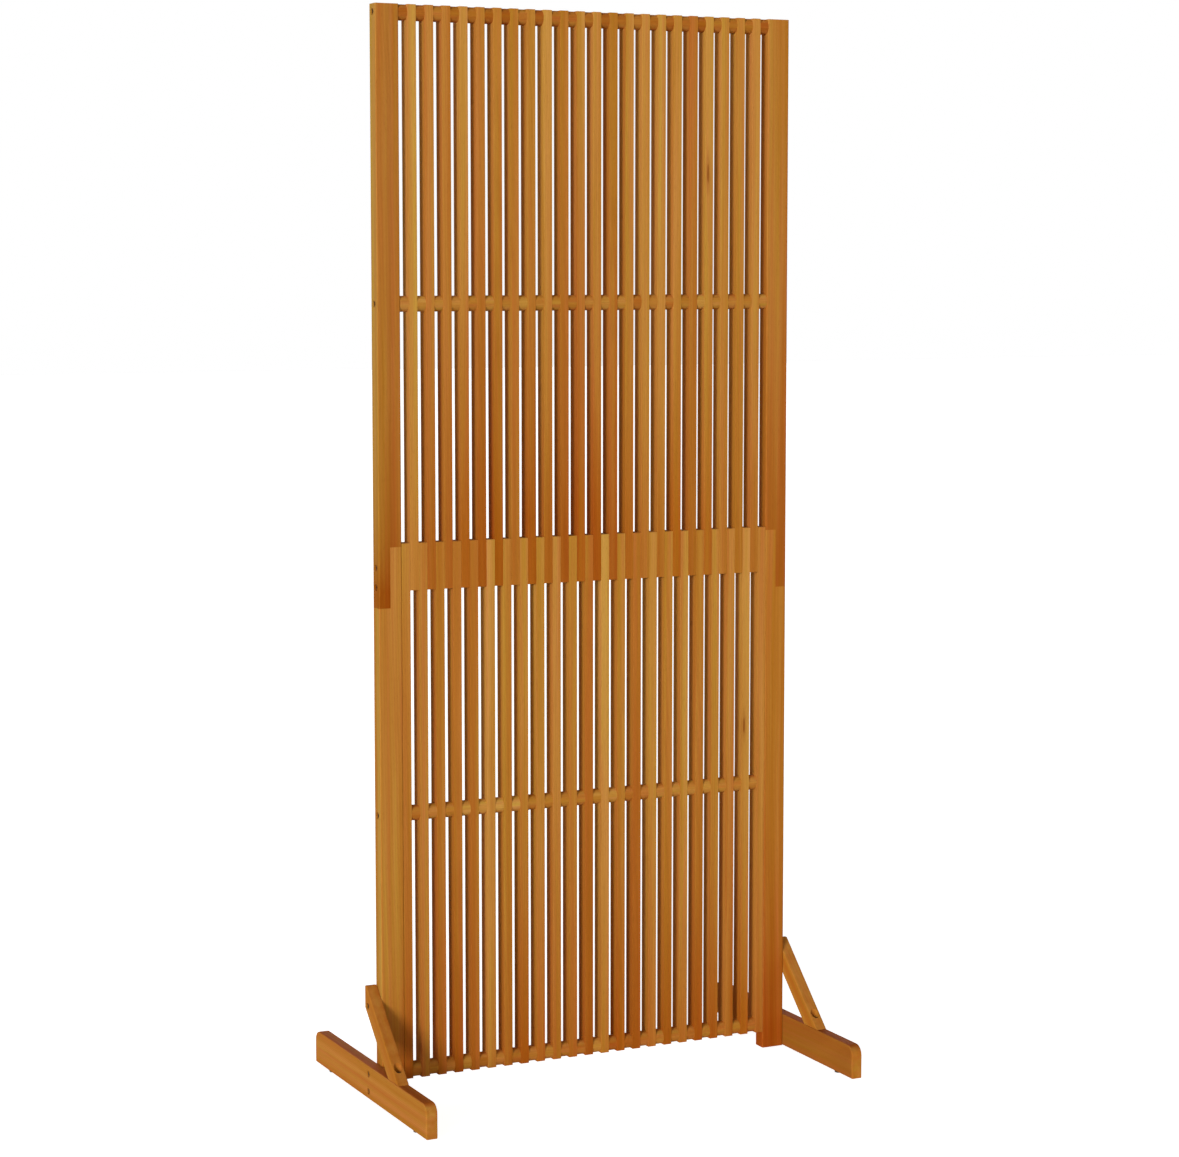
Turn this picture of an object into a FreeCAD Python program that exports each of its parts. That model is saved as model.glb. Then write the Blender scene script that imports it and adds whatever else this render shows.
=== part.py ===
import FreeCAD, Part
import math
import os

# Free-standing garden privacy screen: two slatted panels, one above the other.
# The slats of the panels slide between each other like two combs, the stiles
# are half-lapped and bolted, and two braced foot beams hold the screen upright.
# Millimetres. +X runs to the viewer's right, +Y to the back, +Z up.
# The origin lies on the ground under the middle of the screen.

# ---- overall ----
total_height = 1800.0
panel_depth = 26.0          # front to back, of stiles and slats alike
edge_radius = 2.0           # eased long edges of stiles, feet and braces

# ---- slats ----
upper_slat_count = 22       # the lower panel has one more
slat_width = 15.0
slat_edge_radius = 0.4
slat_end_chamfer = 0.3
comb_clearance = 0.125      # each side of a slat between its two neighbours
comb_overlap = 78.0         # how far the two sets of slats reach past each other
slat_ground_gap = 29.0      # slat ends above the underside of the stiles
slat_head_rise = 5.5        # lower slats above the tops of the lower stiles

# ---- stiles ----
stile_width = 40.35         # of the upper panel
lower_stile_length = 919.0
lap_length = 100.0          # height of the half-lap between the stiles
lap_tail_width = 20.1       # outer half of the lap, on the upper stile

# ---- spacers and tie rods ----
upper_mid_drop = 481.0      # middle rod of the upper panel, below its top
lower_mid_rise = 446.0      # middle rod of the lower panel, above the slat ends
rod_diameter = 6.0
rod_clearance = 0.5         # on the diameter of the holes the rods pass through
rod_grip = 5.0              # length of rod inside each sleeve nut
nut_diameter = 10.0
nut_length = 8.0
nut_recess = 2.0            # below the outer face of the wood
nut_thread_clearance = 0.2

# ---- connector bolts ----
bolt_diameter = 6.0
bolt_head_diameter = 10.0
bolt_head_height = 3.0
bolt_head_round = 0.8
bolt_seat_depth = 5.0       # from the outer face of the wood to under the head
bolt_tip_cover = 5.0        # wood left beyond the tip of a lap bolt
bolt_clearance = 0.5        # on the diameter of the holes the bolts pass through
bolt_thread_clearance = 0.2
hole_tip_gap = 1.0          # blind holes run on past the tips of bolts and screws
counterbore_clearance = 1.0
lap_bolt_spacing = 32.0
foot_bolt_height = 13.0     # above the underside of the foot
brace_bolt_drop = 32.0      # below the top of the brace
socket_across_flats = 4.0
socket_depth = 2.0

# ---- feet ----
foot_length = 500.0
foot_height = 56.0
foot_thickness = 20.0
foot_corner_radius = 17.0
glide_height = 4.0
glide_diameter = 14.0
glide_round = 1.0
glide_inset = 60.0          # from the end of the foot to the middle of the glide
glide_pin_diameter = 3.0
glide_pin_length = 14.0
glide_pin_clearance = 0.3

# ---- braces ----
brace_angle = 43.6          # of the long edges, from level
brace_width = 30.0
brace_thickness = 20.0
brace_rise = 133.0          # from the top of the foot to the top of the brace
brace_tip_flat = 5.0        # level cut at the top
screw_toe_inset = 24.0      # from the toe of the brace to its screw
screw_seat_height = 12.0    # screw head seat above the foot
screw_pocket_diameter = 14.0 # room for a driver, nearly the width of the brace
screw_diameter = 4.0
screw_head_diameter = 8.0
screw_head_height = 3.0
screw_length = 38.0
screw_tip_length = 5.0
screw_tip_diameter = 0.6
screw_clearance = 0.3
screw_slot_width = 1.2
screw_slot_length = 5.0
screw_slot_depth = 1.2

# ---- worked out from the sizes above ----
Vector = FreeCAD.Vector
tolerance = 0.001           # two places closer than this are the same place
corner_share = 0.9          # of an eased corner's radius, the most that a chamfer across it can take
hexagon_sides = 6

lower_slat_count = upper_slat_count + 1
slat_gap = slat_width + 2 * comb_clearance
slat_pitch = slat_width + slat_gap
slat_end_break = min(slat_end_chamfer, corner_share * slat_edge_radius)
half_opening = (upper_slat_count * slat_pitch + slat_gap) / 2
half_width = half_opening + stile_width
half_depth = panel_depth / 2
lower_stile_inner = (lower_slat_count * slat_pitch - slat_gap) / 2
lower_stile_width = half_width - lower_stile_inner
lap_face = half_width - lap_tail_width
foot_face = half_width + foot_thickness
brace_face = half_width + brace_thickness
foot_middle = half_width + foot_thickness / 2
brace_middle = half_width + brace_thickness / 2

foot_bottom = glide_height
foot_top = foot_bottom + foot_height
stile_bottom = foot_bottom
head_top = stile_bottom + lower_stile_length
tail_bottom = head_top - lap_length
lower_slat_bottom = stile_bottom + slat_ground_gap
lower_slat_top = head_top + slat_head_rise
upper_slat_bottom = lower_slat_top - comb_overlap

spacer_radius = panel_depth / 2
top_rod = total_height - spacer_radius
upper_mid_rod = total_height - upper_mid_drop
lower_mid_rod = lower_slat_bottom + lower_mid_rise
bottom_rod = lower_slat_bottom + spacer_radius
lap_middle = tail_bottom + lap_length / 2
lap_bolts = [lap_middle - lap_bolt_spacing / 2, lap_middle + lap_bolt_spacing / 2]
foot_bolt = foot_bottom + foot_bolt_height
brace_top = foot_top + brace_rise
brace_bolt = brace_top - brace_bolt_drop

brace_slope = math.tan(math.radians(brace_angle))
brace_tip = half_depth - brace_tip_flat
brace_toe = brace_tip - brace_rise / brace_slope
brace_heel = brace_toe + brace_width / math.sin(math.radians(brace_angle))
screw_place = brace_toe + screw_toe_inset
glide_place = foot_length / 2 - glide_inset

rod_hole_radius = (rod_diameter + rod_clearance) / 2
nut_pocket_radius = (nut_diameter + counterbore_clearance) / 2
nut_pocket_depth = nut_length + nut_recess
bolt_shank_length = lower_stile_width - bolt_seat_depth - bolt_tip_cover
bolt_hole_radius = (bolt_diameter + bolt_clearance) / 2
bolt_thread_radius = (bolt_diameter + bolt_thread_clearance) / 2
bolt_pocket_radius = (bolt_head_diameter + counterbore_clearance) / 2
screw_hole_radius = (screw_diameter + screw_clearance) / 2
screw_pocket_radius = screw_pocket_diameter / 2
glide_pin_hole_radius = (glide_pin_diameter + glide_pin_clearance) / 2


def side_name(side):
    return "left" if side < 0 else "right"


def save(shape, name):
    shape.exportStep("parts/" + name + ".step")


# ---- building blocks ----

def edges_along_z(shape):
    """The upright edges of a shape."""
    found = []
    for edge in shape.Edges:
        box = edge.BoundBox
        if box.XLength < tolerance and box.YLength < tolerance:
            found.append(edge)
    return found


def edges_at_height(shape, z):
    """The edges that lie wholly in the level plane at z."""
    found = []
    for edge in shape.Edges:
        box = edge.BoundBox
        if abs(box.ZMin - z) < tolerance and abs(box.ZMax - z) < tolerance:
            found.append(edge)
    return found


def edges_across_at(shape, x):
    """The edges that lie wholly in the upright plane at x."""
    found = []
    for edge in shape.Edges:
        box = edge.BoundBox
        if abs(box.XMin - x) < tolerance and abs(box.XMax - x) < tolerance:
            found.append(edge)
    return found


def upright_bar(x_low, x_high, z_low, z_high, radius):
    """A bar as deep as the panel, with its four long edges rounded."""
    corner = Vector(x_low, -half_depth, z_low)
    bar = Part.makeBox(x_high - x_low, panel_depth, z_high - z_low, corner)
    return bar.makeFillet(radius, edges_along_z(bar))


def rod_along_x(radius, x_from, x_to, z):
    """A round bar or hole in the middle of the panel's depth."""
    length = x_to - x_from
    direction = Vector(math.copysign(1, length), 0, 0)
    return Part.makeCylinder(radius, abs(length), Vector(x_from, 0, z), direction)


def hex_socket(side, x_face, z):
    """The hexagonal key hole in the outer end of a nut or bolt."""
    corner_angle = math.pi / hexagon_sides
    reach = socket_across_flats / 2 / math.cos(corner_angle)
    points = []
    for step in range(hexagon_sides + 1):
        turn = 2 * corner_angle * step
        points.append(Vector(side * x_face, reach * math.sin(turn), z + reach * math.cos(turn)))
    outline = Part.Face(Part.makePolygon(points))
    return outline.extrude(Vector(-side * socket_depth, 0, 0))


def nut_pocket(side, outer_face, z):
    """The counterbore a sleeve nut sits in."""
    seat = outer_face - nut_pocket_depth
    return rod_along_x(nut_pocket_radius, side * outer_face, side * seat, z)


def bolt_pocket(side, outer_face, z, thickness):
    """A connector bolt's counterbore, and its hole through the piece it clamps."""
    seat = outer_face - bolt_seat_depth
    inner_face = outer_face - thickness
    pocket = rod_along_x(bolt_pocket_radius, side * outer_face, side * seat, z)
    return pocket.fuse(rod_along_x(bolt_hole_radius, side * seat, side * inner_face, z))


def bolt_thread_hole(side, outer_face, z, thickness):
    """The blind hole that a connector bolt's thread bites into."""
    entry = outer_face - thickness
    end = outer_face - bolt_seat_depth - bolt_shank_length - hole_tip_gap
    return rod_along_x(bolt_thread_radius, side * entry, side * end, z)


# ---- stiles ----

def stile_bar(side, inner, z_low, z_high):
    low = min(side * inner, side * half_width)
    high = max(side * inner, side * half_width)
    return upright_bar(low, high, z_low, z_high, edge_radius)


def lap_notch(side, x_from, x_to):
    """What is sawn out of a stile to take the other stile's half of the lap."""
    low = min(side * x_from, side * x_to)
    corner = Vector(low, -half_depth, tail_bottom)
    return Part.makeBox(abs(x_to - x_from), panel_depth, lap_length, corner)


def upper_stile(side):
    stile = stile_bar(side, half_opening, tail_bottom, total_height)
    stile = stile.cut(lap_notch(side, half_opening, lap_face))
    for z in (top_rod, upper_mid_rod):
        stile = stile.cut(rod_along_x(rod_hole_radius, side * half_width, side * half_opening, z))
        stile = stile.cut(nut_pocket(side, half_width, z))
    for z in lap_bolts:
        stile = stile.cut(bolt_pocket(side, half_width, z, lap_tail_width))
    return stile


def lower_stile(side):
    stile = stile_bar(side, lower_stile_inner, stile_bottom, head_top)
    stile = stile.cut(lap_notch(side, lap_face, half_width))
    for z in (lower_mid_rod, bottom_rod):
        stile = stile.cut(rod_along_x(rod_hole_radius, side * half_width, side * lower_stile_inner, z))
    stile = stile.cut(nut_pocket(side, half_width, lower_mid_rod))
    for z in lap_bolts:
        stile = stile.cut(bolt_thread_hole(side, half_width, z, lap_tail_width))
    stile = stile.cut(bolt_thread_hole(side, foot_face, foot_bolt, foot_thickness))
    return stile.cut(bolt_thread_hole(side, brace_face, brace_bolt, brace_thickness))


# ---- slats and spacers ----

def slat(middle, z_low, z_high, rod_heights):
    low = middle - slat_width / 2
    high = middle + slat_width / 2
    bar = upright_bar(low, high, z_low, z_high, slat_edge_radius)
    end_edges = edges_at_height(bar, z_low) + edges_at_height(bar, z_high)
    bar = bar.makeChamfer(slat_end_break, end_edges)
    for z in rod_heights:
        bar = bar.cut(rod_along_x(rod_hole_radius, low, high, z))
    return bar


def slat_middles(count):
    first = -(count - 1) / 2 * slat_pitch
    return [first + index * slat_pitch for index in range(count)]


def spacer_row(middles, z):
    """Short turned dowels, bored for the rod, one in each gap."""
    spacers = []
    for middle in middles:
        low = middle - slat_gap / 2
        high = middle + slat_gap / 2
        dowel = rod_along_x(spacer_radius, low, high, z)
        spacers.append(dowel.cut(rod_along_x(rod_hole_radius, low, high, z)))
    return spacers


# ---- tie rods and their sleeve nuts ----

def rod_end(outer_face):
    return outer_face - nut_pocket_depth + rod_grip


def tie_rod(z, outer_face):
    end = rod_end(outer_face)
    return rod_along_x(rod_diameter / 2, -end, end, z)


def sleeve_nut(side, z, outer_face):
    head = outer_face - nut_recess
    seat = outer_face - nut_pocket_depth
    thread_radius = (rod_diameter + nut_thread_clearance) / 2
    nut = rod_along_x(nut_diameter / 2, side * seat, side * head, z)
    nut = nut.cut(rod_along_x(thread_radius, side * seat, side * rod_end(outer_face), z))
    return nut.cut(hex_socket(side, head, z))


# ---- connector bolts ----

def connector_bolt(side, z, outer_face):
    seat = outer_face - bolt_seat_depth
    crown = seat + bolt_head_height
    tip = seat - bolt_shank_length
    head = rod_along_x(bolt_head_diameter / 2, side * seat, side * crown, z)
    head = head.makeFillet(bolt_head_round, edges_across_at(head, side * crown))
    shank = rod_along_x(bolt_diameter / 2, side * seat, side * tip, z)
    return head.fuse(shank).cut(hex_socket(side, crown, z)).removeSplitter()


# ---- feet, glides and braces ----

def side_plate(points, x_low, thickness):
    """A board in an upright plane, from its outline as (y, z) points."""
    corners = [Vector(x_low, y, z) for y, z in points]
    outline = Part.Face(Part.makePolygon(corners + corners[:1]))
    return outline.extrude(Vector(thickness, 0, 0))


def round_corners(board, points, radius):
    """Rounds a board's outline at some of its (y, z) corners."""
    chosen = []
    for edge in board.Edges:
        box = edge.BoundBox
        for y, z in points:
            if max(abs(box.YMin - y), abs(box.YMax - y), abs(box.ZMin - z), abs(box.ZMax - z)) < tolerance:
                chosen.append(edge)
    return board.makeFillet(radius, chosen)


def ease_rims(board, x_low, thickness):
    """Rounds the edges all round both flat sides of a board."""
    rims = edges_across_at(board, x_low) + edges_across_at(board, x_low + thickness)
    return board.makeFillet(edge_radius, rims)


def foot(side):
    low = min(side * half_width, side * foot_face)
    end = foot_length / 2
    base = [(-end, foot_bottom), (end, foot_bottom)]
    crown = [(end, foot_top), (-end, foot_top)]
    beam = side_plate(base + crown, low, foot_thickness)
    beam = round_corners(beam, crown, foot_corner_radius)
    beam = ease_rims(beam, low, foot_thickness)
    beam = beam.cut(rod_along_x(rod_hole_radius, side * half_width, side * foot_face, bottom_rod))
    beam = beam.cut(nut_pocket(side, foot_face, bottom_rod))
    beam = beam.cut(bolt_pocket(side, foot_face, foot_bolt, foot_thickness))
    pin_hole_depth = glide_pin_length + hole_tip_gap
    for y in (-glide_place, glide_place):
        entry = Vector(side * foot_middle, y, foot_bottom)
        beam = beam.cut(Part.makeCylinder(glide_pin_hole_radius, pin_hole_depth, entry))
    screw_hole_depth = screw_length - screw_seat_height + hole_tip_gap
    entry = Vector(side * brace_middle, screw_place, foot_top)
    return beam.cut(Part.makeCylinder(screw_hole_radius, screw_hole_depth, entry, Vector(0, 0, -1)))


def glide(side, y):
    """A round plastic nail-on glide: a pad on the ground and a pin in the foot."""
    pad = Part.makeCylinder(glide_diameter / 2, glide_height, Vector(side * foot_middle, y, 0))
    pad = pad.makeFillet(glide_round, edges_at_height(pad, 0))
    pin_base = Vector(side * foot_middle, y, glide_height)
    pin = Part.makeCylinder(glide_pin_diameter / 2, glide_pin_length, pin_base)
    return pad.fuse(pin).removeSplitter()


def brace(side):
    low = min(side * half_width, side * brace_face)
    points = [
        (brace_toe, foot_top),
        (brace_heel, foot_top),
        (half_depth, foot_top + (half_depth - brace_heel) * brace_slope),
        (half_depth, brace_top),
        (brace_tip, brace_top),
    ]
    board = side_plate(points, low, brace_thickness)
    board = ease_rims(board, low, brace_thickness)
    board = board.cut(bolt_pocket(side, brace_face, brace_bolt, brace_thickness))
    seat = Vector(side * brace_middle, screw_place, foot_top + screw_seat_height)
    board = board.cut(Part.makeCylinder(screw_pocket_radius, brace_rise, seat))
    return board.cut(Part.makeCylinder(screw_hole_radius, screw_seat_height, seat, Vector(0, 0, -1)))


def brace_screw(side):
    """A cross-slotted screw, driven straight down through the toe of a brace."""
    x = side * brace_middle
    y = screw_place
    seat = foot_top + screw_seat_height
    shank_end = seat - screw_length + screw_tip_length
    head = Part.makeCylinder(screw_head_diameter / 2, screw_head_height, Vector(x, y, seat))
    shank = Part.makeCylinder(screw_diameter / 2, seat - shank_end, Vector(x, y, shank_end))
    point = Vector(x, y, seat - screw_length)
    tip = Part.makeCone(screw_tip_diameter / 2, screw_diameter / 2, screw_tip_length, point)
    screw = head.fuse([shank, tip])
    slot_bottom = seat + screw_head_height - screw_slot_depth
    slots = ((screw_slot_length, screw_slot_width), (screw_slot_width, screw_slot_length))
    for x_size, y_size in slots:
        corner = Vector(x - x_size / 2, y - y_size / 2, slot_bottom)
        screw = screw.cut(Part.makeBox(x_size, y_size, screw_slot_depth, corner))
    return screw.removeSplitter()


# ---- the whole screen ----

os.makedirs("parts", exist_ok=True)

upper_middles = slat_middles(upper_slat_count)
lower_middles = slat_middles(lower_slat_count)

for number, middle in enumerate(upper_middles, 1):
    bar = slat(middle, upper_slat_bottom, total_height, (top_rod, upper_mid_rod))
    save(bar, "upper_slat_%02d" % number)
for number, middle in enumerate(lower_middles, 1):
    bar = slat(middle, lower_slat_bottom, lower_slat_top, (lower_mid_rod, bottom_rod))
    save(bar, "lower_slat_%02d" % number)

# the gaps of one panel lie where the other panel's slats are
upper_spacers = spacer_row(lower_middles, top_rod) + spacer_row(lower_middles, upper_mid_rod)
lower_spacers = spacer_row(upper_middles, lower_mid_rod) + spacer_row(upper_middles, bottom_rod)
save(Part.makeCompound(upper_spacers), "upper_spacers")
save(Part.makeCompound(lower_spacers), "lower_spacers")

# each rod's height, and the outer face its nuts are sunk into;
# the bottom rod runs on through the feet and clamps them to the stiles
rods = [
    (top_rod, half_width),
    (upper_mid_rod, half_width),
    (lower_mid_rod, half_width),
    (bottom_rod, foot_face),
]
save(Part.makeCompound([tie_rod(z, outer_face) for z, outer_face in rods]), "tie_rods")

nuts = []
bolts = []
screws = []
glides = []
for side in (-1, 1):
    save(upper_stile(side), side_name(side) + "_upper_stile")
    save(lower_stile(side), side_name(side) + "_lower_stile")
    save(foot(side), side_name(side) + "_foot")
    save(brace(side), side_name(side) + "_brace")
    for z, outer_face in rods:
        nuts.append(sleeve_nut(side, z, outer_face))
    for z in lap_bolts:
        bolts.append(connector_bolt(side, z, half_width))
    bolts.append(connector_bolt(side, foot_bolt, foot_face))
    bolts.append(connector_bolt(side, brace_bolt, brace_face))
    screws.append(brace_screw(side))
    for y in (-glide_place, glide_place):
        glides.append(glide(side, y))

save(Part.makeCompound(nuts), "sleeve_nuts")
save(Part.makeCompound(bolts), "connector_bolts")
save(Part.makeCompound(screws), "brace_screws")
save(Part.makeCompound(glides), "foot_glides")
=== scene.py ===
import bpy
import math
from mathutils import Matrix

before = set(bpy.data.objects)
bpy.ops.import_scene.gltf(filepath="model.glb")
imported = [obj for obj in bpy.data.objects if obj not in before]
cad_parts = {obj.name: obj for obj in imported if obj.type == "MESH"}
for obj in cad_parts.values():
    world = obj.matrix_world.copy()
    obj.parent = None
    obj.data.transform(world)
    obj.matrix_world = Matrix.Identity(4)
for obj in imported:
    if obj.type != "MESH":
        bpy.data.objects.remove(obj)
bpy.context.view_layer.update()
bpy.ops.object.select_all(action="DESELECT")
print("frame loaded,", len(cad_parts), "nodes")

scene = bpy.context.scene
scene.view_settings.view_transform = "Standard"


# small helpers for node trees

def addNode(tree, kind, label, **settings):
    node = tree.nodes.new(kind)
    node.label = label
    for key, value in settings.items():
        setattr(node, key, value)
    return node


def plug(tree, source, target):
    # a number or a colour is set on the socket, an output is linked to it
    if isinstance(source, bpy.types.NodeSocket):
        tree.links.new(source, target)
    elif source is not None:
        target.default_value = source


def doMath(tree, operation, first, second=None, third=None, clamp=False, label=""):
    node = addNode(tree, "ShaderNodeMath", label, operation=operation, use_clamp=clamp)
    plug(tree, first, node.inputs[0])
    plug(tree, second, node.inputs[1])
    plug(tree, third, node.inputs[2])
    return node.outputs[0]


def doVector(tree, operation, first, second=None, label=""):
    node = addNode(tree, "ShaderNodeVectorMath", label, operation=operation)
    plug(tree, first, node.inputs[0])
    plug(tree, second, node.inputs[1])
    return node.outputs["Value" if operation in ("LENGTH", "DOT_PRODUCT") else "Vector"]


def mixColour(tree, amount, first, second, label="", blend="MIX"):
    node = addNode(tree, "ShaderNodeMix", label, data_type="RGBA", blend_type=blend)
    plug(tree, amount, node.inputs[0])
    plug(tree, first, node.inputs[6])
    plug(tree, second, node.inputs[7])
    return node.outputs[2]


def remap(tree, value, low, high, outLow=0.0, outHigh=1.0, label="", smooth=False):
    node = addNode(tree, "ShaderNodeMapRange", label, clamp=True)
    node.interpolation_type = "SMOOTHSTEP" if smooth else "LINEAR"
    plug(tree, value, node.inputs[0])
    for place, number in zip((1, 2, 3, 4), (low, high, outLow, outHigh)):
        plug(tree, number, node.inputs[place])
    return node.outputs[0]


def noise(tree, vector, scale, detail=2.0, roughness=0.5, label=""):
    node = addNode(tree, "ShaderNodeTexNoise", label)
    plug(tree, vector, node.inputs["Vector"])
    node.inputs["Scale"].default_value = scale
    node.inputs["Detail"].default_value = detail
    node.inputs["Roughness"].default_value = roughness
    return node.outputs[0]


def newGroup(name, inputs, outputs):
    group = bpy.data.node_groups.new(name, "ShaderNodeTree")
    for socketName, kind, value in inputs:
        socket = group.interface.new_socket(name=socketName, in_out="INPUT", socket_type="NodeSocket" + kind)
        if value is not None:
            socket.default_value = value
    for socketName, kind in outputs:
        group.interface.new_socket(name=socketName, in_out="OUTPUT", socket_type="NodeSocket" + kind)
    return group, group.nodes.new("NodeGroupInput").outputs, group.nodes.new("NodeGroupOutput").inputs


def placeGroup(tree, group, label, **values):
    node = addNode(tree, "ShaderNodeGroup", label, node_tree=group)
    for key, value in values.items():
        plug(tree, value, node.inputs[key])
    return node


def newMaterial(name):
    material = bpy.data.materials.new(name)
    material.use_nodes = True
    tree = material.node_tree
    tree.nodes.clear()
    surface = addNode(tree, "ShaderNodeBsdfPrincipled", "surface")
    output = addNode(tree, "ShaderNodeOutputMaterial", "output")
    tree.links.new(surface.outputs[0], output.inputs["Surface"])
    return material, tree, surface


# boards cut from different planks: random numbers for each board, from where it stands

planks = {
    "rowStep": 41.0,                        # keeps the numbers of two rows apart
    "reach": (37.0, 37.0, 37.0),            # how far apart two boards are cut from the pattern, in metres
}


def makePieceGroup():
    # Phase shifts the cells that Pitch makes along X, Row Height makes cells along Z too
    group, given, result = newGroup("pieceNumber", [
        ("Vector", "Vector", None), ("Pitch", "Float", 0.03), ("Phase", "Float", 0.0),
        ("Row Height", "Float", 10.0), ("Seed", "Float", 0.0),
    ], [("Tone", "Float"), ("Hue", "Float"), ("Fade", "Float"), ("Offset", "Vector")])
    apart = addNode(group, "ShaderNodeSeparateXYZ", "place")
    plug(group, given["Vector"], apart.inputs[0])
    cell = doMath(group, "DIVIDE", apart.outputs["X"], given["Pitch"])
    cell = doMath(group, "FLOOR", doMath(group, "ADD", cell, given["Phase"]))
    row = doMath(group, "FLOOR", doMath(group, "DIVIDE", apart.outputs["Z"], given["Row Height"]))
    number = doMath(group, "MULTIPLY_ADD", row, planks["rowStep"], cell)
    number = doMath(group, "ADD", number, given["Seed"])
    dice = addNode(group, "ShaderNodeTexWhiteNoise", "dice", noise_dimensions="1D")
    plug(group, number, dice.inputs["W"])
    parts = addNode(group, "ShaderNodeSeparateColor", "dice apart")
    plug(group, dice.outputs["Color"], parts.inputs[0])
    plug(group, parts.outputs[0], result["Tone"])
    plug(group, parts.outputs[1], result["Hue"])
    plug(group, parts.outputs[2], result["Fade"])
    plug(group, doVector(group, "MULTIPLY", dice.outputs["Color"], planks["reach"]), result["Offset"])
    return group


# the grain itself, running along Z of the vector that comes in, in metres

figure = {                                  # how often each pattern repeats per metre, last number lengthwise
    "wander": (6.0, 6.0, 1.6),
    "wanderShift": (0.018, 0.018, 0.0),     # metres, sideways only
    "bands": (62.0, 62.0, 0.75),
    "flames": (150.0, 150.0, 3.4),
    "tints": (110.0, 110.0, 1.3),
    "fibre": (900.0, 900.0, 11.0),
    "pores": (2600.0, 2600.0, 120.0),
    "ringStretch": (1.0, 1.0, 0.012),
    "ringCount": 2150.0,
    "stripeSway": (3.0, 3.0, 2.2),
}


def makeGrainGroup():
    group, given, result = newGroup("hardwoodGrain", [
        ("Vector", "Vector", None), ("Offset", "Vector", None),
    ], [("Band", "Float"), ("Flame", "Float"), ("Tint", "Float"), ("Rings", "Float"), ("Fibre", "Float"),
        ("Pores", "Float")])
    moved = doVector(group, "ADD", given["Vector"], given["Offset"], label="other plank")
    # the fibres wander slowly sideways along the board
    slow = doVector(group, "MULTIPLY", moved, figure["wander"], label="slow")
    wander = addNode(group, "ShaderNodeTexNoise", "wander")
    plug(group, slow, wander.inputs["Vector"])
    wander.inputs["Scale"].default_value = 1.0
    wander.inputs["Detail"].default_value = 2.0
    centred = doVector(group, "SUBTRACT", wander.outputs["Color"], (0.5, 0.5, 0.5))
    shift = doVector(group, "MULTIPLY", centred, figure["wanderShift"], label="sideways only")
    bent = doVector(group, "ADD", moved, shift, label="wandering fibres")

    wide = doVector(group, "MULTIPLY", bent, figure["bands"])
    band = noise(group, wide, 1.0, 2.0, 0.5, "heartwood bands")
    plug(group, remap(group, band, 0.30, 0.70), result["Band"])
    short = doVector(group, "MULTIPLY", bent, figure["flames"])
    flame = noise(group, short, 1.0, 3.0, 0.55, "short flames")
    plug(group, remap(group, flame, 0.30, 0.72), result["Flame"])
    patches = doVector(group, "MULTIPLY", bent, figure["tints"])
    tint = noise(group, patches, 1.0, 2.0, 0.5, "warm and cool")
    plug(group, remap(group, tint, 0.32, 0.68), result["Tint"])

    # growth rings round a pith well outside the board
    flat = doVector(group, "MULTIPLY", bent, figure["ringStretch"])
    apart = addNode(group, "ShaderNodeSeparateXYZ", "across")
    plug(group, flat, apart.inputs[0])
    across = addNode(group, "ShaderNodeCombineXYZ", "across only")
    plug(group, apart.outputs["X"], across.inputs[0])
    plug(group, apart.outputs["Y"], across.inputs[1])
    radius = doVector(group, "LENGTH", across.outputs[0], label="distance from the pith")
    radius = doMath(group, "ADD", radius, apart.outputs["Z"])
    ripple = doMath(group, "SINE", doMath(group, "MULTIPLY", radius, figure["ringCount"]))
    plug(group, remap(group, ripple, -1.0, 1.0, smooth=True), result["Rings"])

    fibre = noise(group, doVector(group, "MULTIPLY", bent, figure["fibre"]), 1.0, 3.0, 0.6, "fibre")
    plug(group, remap(group, fibre, 0.28, 0.72), result["Fibre"])
    pores = noise(group, doVector(group, "MULTIPLY", bent, figure["pores"]), 1.0, 1.0, 0.4, "open pores")
    plug(group, remap(group, pores, 0.63, 0.74, smooth=True), result["Pores"])
    return group


# a small tight knot with the fibres drawn round it

def makeKnotGroup():
    group, given, result = newGroup("tightKnot", [
        ("Vector", "Vector", None), ("Centre", "Vector", None), ("Size", "Vector", None),
    ], [("Knot", "Float"), ("Halo", "Float")])
    away = doVector(group, "SUBTRACT", given["Vector"], given["Centre"])
    scaled = doVector(group, "DIVIDE", away, given["Size"])
    ragged = addNode(group, "ShaderNodeTexNoise", "ragged rim")
    plug(group, scaled, ragged.inputs["Vector"])
    ragged.inputs["Scale"].default_value = 1.7
    rim = doVector(group, "SUBTRACT", ragged.outputs["Color"], (0.5, 0.5, 0.5))
    reach = doVector(group, "LENGTH", doVector(group, "ADD", scaled, rim))
    plug(group, remap(group, reach, 0.45, 1.05, 1.0, 0.0, smooth=True), result["Knot"])
    plug(group, remap(group, reach, 0.5, 2.6, 1.0, 0.0, smooth=True), result["Halo"])
    return group


# rounded arrises: lighter where the surface turns from one face to the next, partly wear and partly a painted
# highlight

def makeArrisGroup():
    group, given, result = newGroup("wornAndHighlitArris", [
        ("Normal", "Vector", None), ("Vector", "Vector", None),
    ], [("Arris", "Float")])
    turned = doVector(group, "ABSOLUTE", given["Normal"])
    apart = addNode(group, "ShaderNodeSeparateXYZ", "facing")
    plug(group, turned, apart.inputs[0])
    most = doMath(group, "MAXIMUM", apart.outputs["X"], apart.outputs["Y"])
    most = doMath(group, "MAXIMUM", most, apart.outputs["Z"])
    edge = remap(group, most, 0.75, 0.97, 1.0, 0.0, smooth=True)
    uneven = noise(group, given["Vector"], 60.0, 3.0, 0.6, "uneven wear and highlight")
    uneven = remap(group, uneven, 0.35, 0.65)
    plug(group, doMath(group, "MULTIPLY", edge, uneven), result["Arris"])
    return group


pieceNumber = makePieceGroup()
hardwoodGrain = makeGrainGroup()
tightKnot = makeKnotGroup()
wornAndHighlitArris = makeArrisGroup()
print("shared node groups ready")


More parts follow.
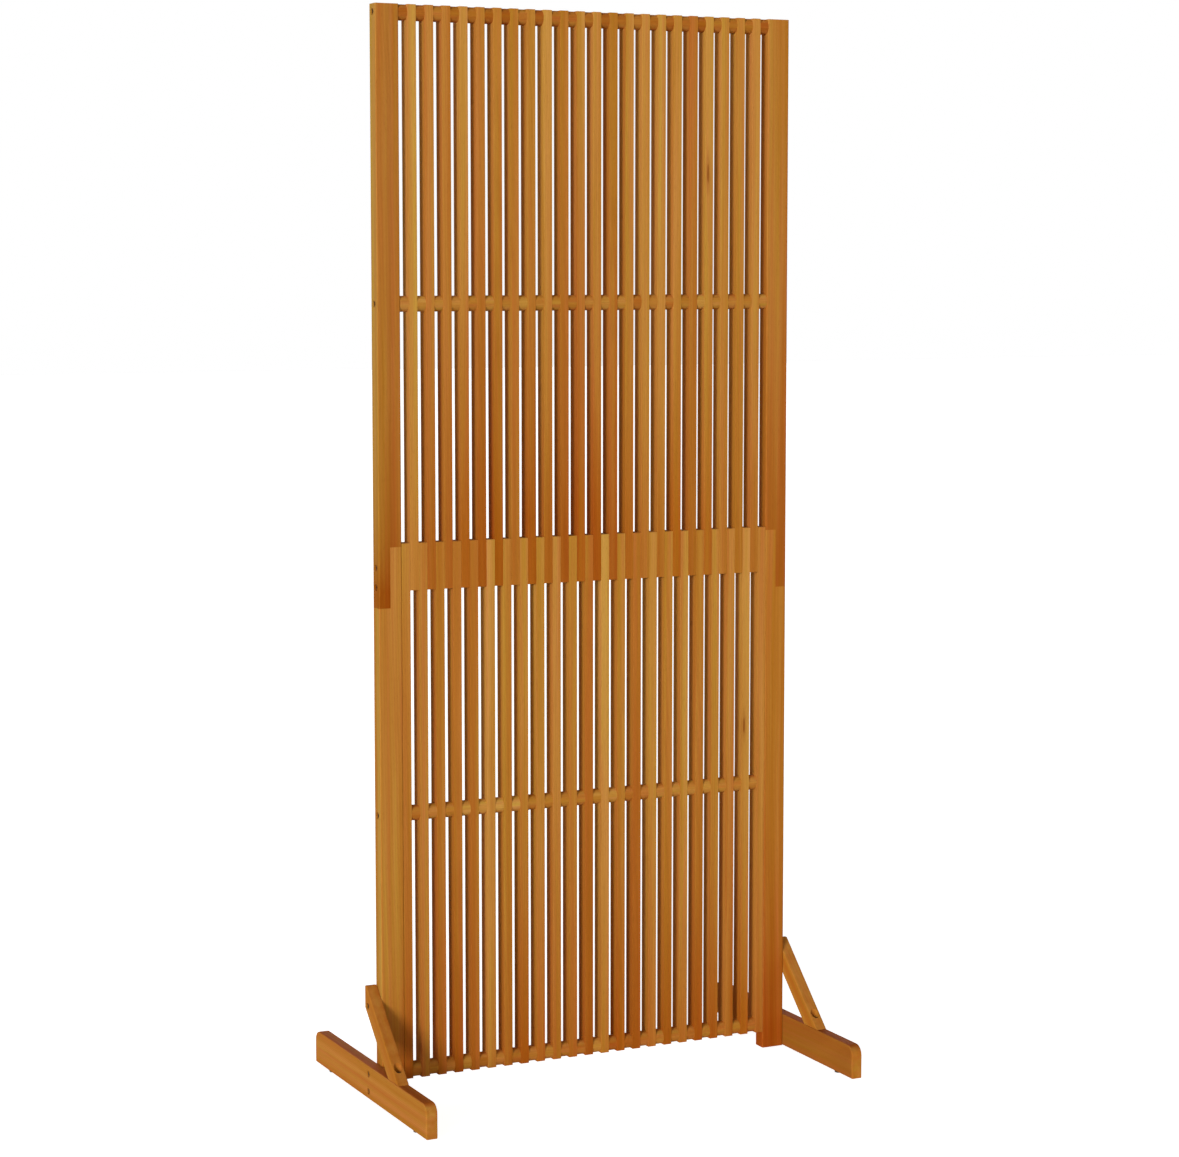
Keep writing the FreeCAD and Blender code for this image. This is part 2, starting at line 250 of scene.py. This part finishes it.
# oiled hardwood

oiledWood = {
    "golden": (0.580, 0.292, 0.060, 1.0),   # the lightest boards
    "amber": (0.480, 0.207, 0.030, 1.0),    # what most boards are
    "russet": (0.400, 0.115, 0.011, 1.0),   # the reddest heartwood
    "streak": (0.235, 0.062, 0.008, 1.0),   # dark lines and knots
    "footTint": (0.76, 0.46, 0.20, 1.0),    # each panel darkens towards its foot
    "olive": (0.96, 1.07, 0.84, 1.0),       # cooler and warmer tints inside a board
    "rosy": (1.04, 0.92, 1.12, 1.0),
    "roughness": 0.68,
    "sheen": 0.02,                          # specular level of a thin matt oil
    "bumpDepth": 0.00035,
    "ringShare": 0.10,                      # how much dark colour each pattern brings
    "fibreShare": 0.16,
    "poreShare": 0.30,
    "haloShare": 0.32,
    "knotShare": 0.75,
    "wornAndHighlitShare": 0.25,                    # how much golden shows on an arris: wear and a painted highlight
}

knots = {                                   # centre and half sizes, in metres
    "upperSlat": {"centre": (0.2245, -0.0130, 1.5370), "size": (0.0026, 0.0050, 0.0200)},
    "lowerSlat": {"centre": (0.2995, -0.0130, 0.5830), "size": (0.0026, 0.0050, 0.0170)},
}


def makeWood(name, pitch=10.0, phase=0.5, rowHeight=10.0, seed=0.0, turn=(0.0, 0.0, 0.0),
             tone=0.0, hue=0.0, shade=1.0, toneSpread=0.9, bandShare=0.6, flameShare=0.5, endTone=0.9,
             drift=None, driftShare=1.0, driftPower=2.1, fadeSpread=0.0, stripe=None, faceTint=None,
             knot=None):
    material, tree, surface = newMaterial(name)
    where = addNode(tree, "ShaderNodeTexCoord", "place on the object").outputs["Object"]
    mapping = addNode(tree, "ShaderNodeMapping", "grain along Z")
    mapping.inputs["Rotation"].default_value = turn
    plug(tree, where, mapping.inputs["Vector"])
    along = mapping.outputs[0]
    piece = placeGroup(tree, pieceNumber, "which board", **{
        "Vector": where, "Pitch": pitch, "Phase": phase, "Row Height": rowHeight, "Seed": seed})
    grain = placeGroup(tree, hardwoodGrain, "grain", **{"Vector": along, "Offset": piece.outputs["Offset"]})

    # how light and how red: partly the board's own, partly bands inside it
    own = doMath(tree, "SUBTRACT", piece.outputs["Tone"], 0.5)
    own = doMath(tree, "MULTIPLY_ADD", own, toneSpread, 0.5 + tone)
    inside = doMath(tree, "SUBTRACT", grain.outputs["Band"], 0.5)
    light = doMath(tree, "MULTIPLY_ADD", inside, bandShare, own, clamp=True, label="lightness")
    flame = doMath(tree, "SUBTRACT", grain.outputs["Flame"], 0.5)
    light = doMath(tree, "MULTIPLY_ADD", flame, flameShare, light, clamp=True)
    red = doMath(tree, "SUBTRACT", piece.outputs["Hue"], 0.5)
    red = doMath(tree, "MULTIPLY_ADD", red, 0.8, 0.32 + hue)
    red = doMath(tree, "MULTIPLY_ADD", inside, -0.4, red, clamp=True, label="redness")
    colour = mixColour(tree, light, oiledWood["amber"], oiledWood["golden"], "amber to golden")
    colour = mixColour(tree, red, colour, oiledWood["russet"], "russet")

    tint = mixColour(tree, grain.outputs["Tint"], oiledWood["olive"], oiledWood["rosy"], "olive to rosy")
    colour = mixColour(tree, 1.0, colour, tint, "tinted", blend="MULTIPLY")

    rings = doMath(tree, "MULTIPLY", grain.outputs["Rings"], oiledWood["ringShare"])
    colour = mixColour(tree, rings, colour, oiledWood["streak"], "late wood")
    fibre = remap(tree, grain.outputs["Fibre"], 0.45, 1.0, 0.0, oiledWood["fibreShare"])
    colour = mixColour(tree, fibre, colour, oiledWood["streak"], "fibre")
    pores = doMath(tree, "MULTIPLY", grain.outputs["Pores"], oiledWood["poreShare"])
    colour = mixColour(tree, pores, colour, oiledWood["streak"], "pores")

    if shade != 1.0:
        colour = mixColour(tree, 1.0, colour, (shade, shade, shade, 1.0), "tone all over", blend="MULTIPLY")

    if drift:
        top, bottom = drift
        apart = addNode(tree, "ShaderNodeSeparateXYZ", "height")
        plug(tree, where, apart.inputs[0])
        fall = remap(tree, apart.outputs["Z"], top, bottom, label="towards the foot")
        fall = doMath(tree, "MULTIPLY", doMath(tree, "POWER", fall, driftPower), driftShare)
        uneven = doMath(tree, "SUBTRACT", piece.outputs["Fade"], 0.5)
        uneven = doMath(tree, "MULTIPLY_ADD", uneven, fadeSpread, 1.0)
        fall = doMath(tree, "MULTIPLY", fall, uneven, clamp=True)
        darker = mixColour(tree, 1.0, colour, oiledWood["footTint"], "foot tint", blend="MULTIPLY")
        colour = mixColour(tree, fall, colour, darker, "drift")

    if stripe:
        apart = addNode(tree, "ShaderNodeSeparateXYZ", "across the board")
        plug(tree, where, apart.inputs[0])
        slow = doVector(tree, "MULTIPLY", where, figure["stripeSway"])
        sway = noise(tree, slow, 1.0, 2.0, 0.5, "swaying stripe")
        centre = doMath(tree, "MULTIPLY_ADD", sway, stripe["sway"], stripe["centre"] - stripe["sway"] / 2)
        off = doMath(tree, "ABSOLUTE", doMath(tree, "SUBTRACT", apart.outputs["X"], centre))
        near = remap(tree, off, 0.0, stripe["reach"], 1.0, 0.0, smooth=True, label="heartwood stripe")
        darker = mixColour(tree, 1.0, colour, stripe["tint"], "stripe tint", blend="MULTIPLY")
        colour = mixColour(tree, near, colour, darker, "stripe")

    if knot:
        spot = placeGroup(tree, tightKnot, "knot", **{
            "Vector": where, "Centre": knot["centre"], "Size": knot["size"]})
        halo = doMath(tree, "MULTIPLY", spot.outputs["Halo"], oiledWood["haloShare"])
        colour = mixColour(tree, halo, colour, oiledWood["russet"], "round the knot", blend="MULTIPLY")
        knotShare = doMath(tree, "MULTIPLY", spot.outputs["Knot"], oiledWood["knotShare"])
        colour = mixColour(tree, knotShare, colour, oiledWood["streak"], "knot")

    # end grain by the way the surface faces
    facing = addNode(tree, "ShaderNodeNewGeometry", "facing").outputs["Normal"]
    across = addNode(tree, "ShaderNodeMapping", "normal in the grain's frame", vector_type="NORMAL")
    across.inputs["Rotation"].default_value = turn
    plug(tree, facing, across.inputs["Vector"])
    sides = addNode(tree, "ShaderNodeSeparateXYZ", "sides")
    plug(tree, across.outputs[0], sides.inputs[0])
    ends = doMath(tree, "ABSOLUTE", sides.outputs["Z"])
    ends = remap(tree, ends, 0.72, 0.95, smooth=True, label="end grain")
    endTint = (endTone, endTone, endTone, 1.0)
    endColour = mixColour(tree, 1.0, colour, endTint, "sawn end tone", blend="MULTIPLY")
    colour = mixColour(tree, ends, colour, endColour, "ends")

    if faceTint:
        # painted light and shade: faces that look along one axis get a tint of their own
        looks = addNode(tree, "ShaderNodeSeparateXYZ", "which way it looks")
        plug(tree, facing, looks.inputs[0])
        level = doMath(tree, "ABSOLUTE", looks.outputs[faceTint["axis"]])
        level = remap(tree, level, 0.60, 0.95, smooth=True)
        tinted = mixColour(tree, 1.0, colour, faceTint["tint"], "that face's tint", blend="MULTIPLY")
        colour = mixColour(tree, level, colour, tinted, "that face")

    # painted highlight and wear: the arrises are mixed towards golden
    arris = placeGroup(tree, wornAndHighlitArris, "arris", **{"Normal": facing, "Vector": where})
    wornAndHighlit = doMath(tree, "MULTIPLY", arris.outputs["Arris"], oiledWood["wornAndHighlitShare"])
    colour = mixColour(tree, wornAndHighlit, colour, oiledWood["golden"], "wornAndHighlit arris")
    plug(tree, colour, surface.inputs["Base Color"])

    # satin oil, duller in the pores and on the ends
    rough = doMath(tree, "MULTIPLY_ADD", grain.outputs["Fibre"], 0.10, oiledWood["roughness"] - 0.05)
    rough = doMath(tree, "MULTIPLY_ADD", grain.outputs["Pores"], 0.15, rough)
    rough = doMath(tree, "MULTIPLY_ADD", ends, 0.18, rough)
    rough = doMath(tree, "MULTIPLY_ADD", arris.outputs["Arris"], -0.06, rough, clamp=True)
    plug(tree, rough, surface.inputs["Roughness"])
    surface.inputs["Specular IOR Level"].default_value = oiledWood["sheen"]

    height = doMath(tree, "MULTIPLY", grain.outputs["Fibre"], 0.35)
    height = doMath(tree, "MULTIPLY_ADD", grain.outputs["Rings"], 0.15, height)
    height = doMath(tree, "MULTIPLY_ADD", grain.outputs["Pores"], -0.8, height)
    bump = addNode(tree, "ShaderNodeBump", "open grain")
    bump.inputs["Strength"].default_value = 0.35
    bump.inputs["Distance"].default_value = oiledWood["bumpDepth"]
    plug(tree, height, bump.inputs["Height"])
    plug(tree, bump.outputs[0], surface.inputs["Normal"])
    return material


slatPitch = 0.03025
upperDrift = (1.800, 0.930)                     # stays the same below the second height
upperStileDrift = (1.800, 0.8505)
lowerDrift = (0.9285, 0.033)
alongX = (0.0, math.radians(-90.0), 0.0)
alongY = (math.radians(90.0), 0.0, 0.0)
alongBrace = (math.radians(46.4), 0.0, 0.0)    # the braces lean 43.6 degrees from level

# single boards: a dark stripe, and painted light and shade on faces that look one way
heartStripe = {"centre": -0.3580, "reach": 0.0090, "sway": 0.012, "tint": (0.94, 0.88, 0.96, 1.0)}
# painted light: the sides of the left stiles made paler and lighter, as lit by the key lamp
litSideTint = {"axis": "X", "tint": (0.96, 1.16, 1.25, 1.0)}
# painted shade: the top faces of the feet made redder and darker, as lit only by dim light from above
shadedTopTint = {"axis": "Z", "tint": (1.00, 0.72, 0.75, 1.0)}
# painted light: the sides of the braces made paler and lighter, as lit by the key lamp
litCheekTint = {"axis": "X", "tint": (1.06, 1.16, 1.20, 1.0)}

woods = {
    "upperSlat": makeWood("upperSlatWood", pitch=slatPitch, phase=0.0, seed=3.0, drift=upperDrift,
                          driftShare=0.78, driftPower=2.0, fadeSpread=0.9, knot=knots["upperSlat"]),
    "lowerSlat": makeWood("lowerSlatWood", pitch=slatPitch, phase=0.5, seed=64.0, drift=lowerDrift,
                          driftShare=0.82, driftPower=2.3, fadeSpread=0.7, knot=knots["lowerSlat"]),
    "leftUpperStile": makeWood("leftUpperStileWood", seed=120.0, tone=-0.1, hue=0.15, shade=0.93,
                               toneSpread=0.0, bandShare=0.9, drift=upperStileDrift, driftPower=11.0,
                               stripe=heartStripe, faceTint=litSideTint),
    "rightUpperStile": makeWood("rightUpperStileWood", seed=124.0, tone=-0.40, hue=0.50, shade=0.97,
                                toneSpread=0.0, bandShare=1.3, drift=upperStileDrift, driftShare=0.7),
    # its tint towards the foot, strongest at the very bottom, is partly painted shade: the redder shade in
    # the brace's shadow
    "leftLowerStile": makeWood("leftLowerStileWood", seed=131.0, tone=0.15, hue=-0.10, toneSpread=0.0,
                               bandShare=1.1, drift=lowerDrift, driftPower=8.0, faceTint=litSideTint),
    "rightLowerStile": makeWood("rightLowerStileWood", seed=137.0, tone=0.15, hue=0.0, shade=1.03,
                                toneSpread=0.0, bandShare=1.0, drift=lowerDrift, driftShare=0.95,
                                driftPower=2.8),
    "upperSpacer": makeWood("upperSpacerWood", pitch=slatPitch / 2, phase=0.5, rowHeight=0.2, seed=200.0,
                            turn=alongX, tone=-0.05, hue=0.0, shade=0.96, drift=(1.4, 1.8), driftShare=0.66,
                            driftPower=1.0),
    "lowerSpacer": makeWood("lowerSpacerWood", pitch=slatPitch / 2, phase=0.5, rowHeight=0.2, seed=240.0,
                            turn=alongX, tone=-0.05, hue=0.05, drift=(0.4, 0.06), driftShare=0.40,
                            driftPower=1.0),
    "leftFoot": makeWood("leftFootWood", seed=301.0, turn=alongY, tone=0.1, hue=-0.05, toneSpread=0.0,
                         flameShare=0.3, endTone=0.98, faceTint=shadedTopTint),
    # darker all over, with its sawn ends lighter than the rest
    "rightFoot": makeWood("rightFootWood", seed=309.0, turn=alongY, tone=-0.4, hue=0.65, shade=0.80,
                          toneSpread=0.0, flameShare=0.3, endTone=1.28, faceTint=shadedTopTint),
    "leftBrace": makeWood("leftBraceWood", seed=317.0, turn=alongBrace, tone=-0.2, hue=0.45, shade=0.97,
                          toneSpread=0.0, flameShare=0.3, faceTint=litCheekTint),
    "rightBrace": makeWood("rightBraceWood", seed=323.0, turn=alongBrace, tone=-0.35, hue=0.50,
                           toneSpread=0.0, flameShare=0.3, faceTint=litCheekTint),
}
print("wood materials ready")


# zinc-plated steel of the rods, nuts, bolts and screws, coloured a dark bronze: partly a passivated finish,
# partly painted shade of the holes the heads sit in

zincSteel = {
    "bright": (0.170, 0.115, 0.060, 1.0),
    "dull": (0.060, 0.038, 0.020, 1.0),
    "spangleScale": 900.0,
    "gloss": 0.42,
}


def makeZinc():
    material, tree, surface = newMaterial("zincSteel")
    where = addNode(tree, "ShaderNodeTexCoord", "place on the object").outputs["Object"]
    cloud = noise(tree, where, 260.0, 4.0, 0.6, "passivated clouds")
    cloud = remap(tree, cloud, 0.35, 0.65)
    spangle = addNode(tree, "ShaderNodeTexVoronoi", "zinc crystals")
    plug(tree, where, spangle.inputs["Vector"])
    spangle.inputs["Scale"].default_value = zincSteel["spangleScale"]
    spark = doMath(tree, "MULTIPLY", spangle.outputs["Distance"], 0.35)
    share = doMath(tree, "MULTIPLY_ADD", cloud, 0.7, spark, clamp=True)
    colour = mixColour(tree, share, zincSteel["bright"], zincSteel["dull"], "bright to dull")
    plug(tree, colour, surface.inputs["Base Color"])
    surface.inputs["Metallic"].default_value = 1.0
    rough = doMath(tree, "MULTIPLY_ADD", cloud, 0.18, zincSteel["gloss"] - 0.06, clamp=True)
    plug(tree, rough, surface.inputs["Roughness"])
    bump = addNode(tree, "ShaderNodeBump", "plating")
    bump.inputs["Strength"].default_value = 0.2
    bump.inputs["Distance"].default_value = 0.0001
    plug(tree, cloud, bump.inputs["Height"])
    plug(tree, bump.outputs[0], surface.inputs["Normal"])
    return material


# moulded plastic of the nail-on glides

glidePlastic = {
    "fresh": (0.018, 0.014, 0.011, 1.0),
    "scuffed": (0.050, 0.042, 0.034, 1.0),
    "gloss": 0.55,
}


def makeGlidePlastic():
    material, tree, surface = newMaterial("glidePlastic")
    where = addNode(tree, "ShaderNodeTexCoord", "place on the object").outputs["Object"]
    scuffs = noise(tree, doVector(tree, "MULTIPLY", where, (700.0, 240.0, 700.0)), 1.0, 4.0, 0.65, "scuffs")
    scuffs = remap(tree, scuffs, 0.5, 0.75)
    colour = mixColour(tree, scuffs, glidePlastic["fresh"], glidePlastic["scuffed"], "scuffed")
    plug(tree, colour, surface.inputs["Base Color"])
    rough = doMath(tree, "MULTIPLY_ADD", scuffs, 0.25, glidePlastic["gloss"], clamp=True)
    plug(tree, rough, surface.inputs["Roughness"])
    surface.inputs["Specular IOR Level"].default_value = 0.25
    bump = addNode(tree, "ShaderNodeBump", "moulded skin")
    bump.inputs["Strength"].default_value = 0.25
    bump.inputs["Distance"].default_value = 0.0001
    plug(tree, noise(tree, where, 2400.0, 2.0, 0.5, "moulded skin"), bump.inputs["Height"])
    plug(tree, bump.outputs[0], surface.inputs["Normal"])
    return material


metal = makeZinc()
plastic = makeGlidePlastic()
print("metal and plastic ready")


# each CAD node gets its finish

finishByName = [                            # the first that the node's name holds
    ("upper_slat", woods["upperSlat"]),
    ("lower_slat", woods["lowerSlat"]),
    ("left_upper_stile", woods["leftUpperStile"]),
    ("right_upper_stile", woods["rightUpperStile"]),
    ("left_lower_stile", woods["leftLowerStile"]),
    ("right_lower_stile", woods["rightLowerStile"]),
    ("upper_spacers", woods["upperSpacer"]),
    ("lower_spacers", woods["lowerSpacer"]),
    ("foot_glides", plastic),
    ("left_foot", woods["leftFoot"]),
    ("right_foot", woods["rightFoot"]),
    ("brace_screws", metal),
    ("left_brace", woods["leftBrace"]),
    ("right_brace", woods["rightBrace"]),
    ("tie_rods", metal),
    ("sleeve_nuts", metal),
    ("connector_bolts", metal),
]


def finishNode(name, node):
    for part, material in finishByName:
        if part in name:
            for slot in node.material_slots:
                slot.material = material
            return
    raise ValueError("no finish for " + name)


for name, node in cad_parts.items():
    finishNode(name, node)
print("finishes assigned")


# studio: pale floor, soft light

studio = {
    "floorSize": 60.0,
    "floorColour": (0.82, 0.82, 0.82, 1.0),
    "floorGlow": 0.86,                      # only for the camera and for reflections
    "horizon": 1.0,
    "zenith": 0.04,
}

keyLamp = {"side": 51.0, "height": 9.0, "strength": 2.50, "softness": 20.0}      # degrees
frontLamp = {"side": 25.0, "height": 6.0, "strength": 0.50, "softness": 40.0}
rightLamp = {"side": -80.0, "height": 12.0, "strength": 0.35, "softness": 60.0}
backLamp = {"side": -160.0, "height": 14.0, "strength": 1.10, "softness": 50.0}


def seenDirectly(tree):
    # camera, mirror and glass rays see the white studio
    path = addNode(tree, "ShaderNodeLightPath", "what looks")
    seen = doMath(tree, "MAXIMUM", path.outputs["Is Camera Ray"], path.outputs["Is Glossy Ray"])
    return doMath(tree, "MAXIMUM", seen, path.outputs["Is Transmission Ray"])


def makeFloor():
    bpy.ops.mesh.primitive_plane_add(size=studio["floorSize"], location=(0.0, 0.0, 0.0))
    floor = bpy.context.object
    floor.name = "studio_floor"
    material = bpy.data.materials.new("paleFloor")
    material.use_nodes = True
    tree = material.node_tree
    tree.nodes.clear()
    matt = addNode(tree, "ShaderNodeBsdfDiffuse", "matt")
    matt.inputs["Color"].default_value = studio["floorColour"]
    glow = addNode(tree, "ShaderNodeEmission", "white for the camera")
    plug(tree, doMath(tree, "MULTIPLY", seenDirectly(tree), studio["floorGlow"]), glow.inputs["Strength"])
    both = addNode(tree, "ShaderNodeAddShader", "both")
    output = addNode(tree, "ShaderNodeOutputMaterial", "output")
    tree.links.new(matt.outputs[0], both.inputs[0])
    tree.links.new(glow.outputs[0], both.inputs[1])
    tree.links.new(both.outputs[0], output.inputs["Surface"])
    floor.data.materials.append(material)
    floor.select_set(False)


def makeWorld():
    world = bpy.data.worlds.new("softStudio")
    scene.world = world
    world.use_nodes = True
    tree = world.node_tree
    tree.nodes.clear()
    direction = addNode(tree, "ShaderNodeTexCoord", "direction").outputs["Generated"]
    apart = addNode(tree, "ShaderNodeSeparateXYZ", "height of the sky")
    plug(tree, direction, apart.inputs[0])
    rise = remap(tree, apart.outputs["Z"], 0.0, 0.65, studio["horizon"], studio["zenith"], "dimmer overhead")
    seen = seenDirectly(tree)
    strength = addNode(tree, "ShaderNodeMix", "white where it is seen", data_type="FLOAT")
    plug(tree, seen, strength.inputs[0])
    plug(tree, rise, strength.inputs[2])
    strength.inputs[3].default_value = 1.0
    sky = addNode(tree, "ShaderNodeBackground", "sky")
    sky.inputs["Color"].default_value = (1.0, 1.0, 1.0, 1.0)
    plug(tree, strength.outputs[0], sky.inputs["Strength"])
    output = addNode(tree, "ShaderNodeOutputWorld", "output")
    tree.links.new(sky.outputs[0], output.inputs["Surface"])


def addSun(name, lamp):
    # side 0 shines from the front, 90 from the left
    bpy.ops.object.light_add(type="SUN", location=(0.0, 0.0, 3.0))
    sun = bpy.context.object
    sun.name = name
    sun.data.energy = lamp["strength"]
    sun.data.angle = math.radians(lamp["softness"])
    sun.rotation_euler = (math.radians(90.0 - lamp["height"]), 0.0, math.radians(-lamp["side"]))
    sun.select_set(False)


makeFloor()
makeWorld()
addSun("key_lamp", keyLamp)
addSun("front_lamp", frontLamp)
addSun("right_lamp", rightLamp)
addSun("back_lamp", backLamp)
print("studio ready")


# camera at the photograph's viewing angle

photoCamera = {
    "place": (-2.0904, -4.3395, 1.3875),
    "turned": 25.793,                       # degrees to the right of straight ahead
    "tilted": 5.383,                        # degrees downwards
    "lens": 87.431,
    "shiftY": -0.04,
}

bpy.ops.object.camera_add(location=photoCamera["place"])
camera = bpy.context.object
camera.name = "photo_camera"
down = math.radians(90.0 - photoCamera["tilted"])
camera.rotation_euler = (down, 0.0, math.radians(-photoCamera["turned"]))
camera.data.sensor_width = 36.0
camera.data.lens = photoCamera["lens"]
camera.data.shift_y = photoCamera["shiftY"]
camera.data.clip_start = 0.05
camera.data.clip_end = 200.0
camera.select_set(False)
scene.camera = camera
print("camera ready")
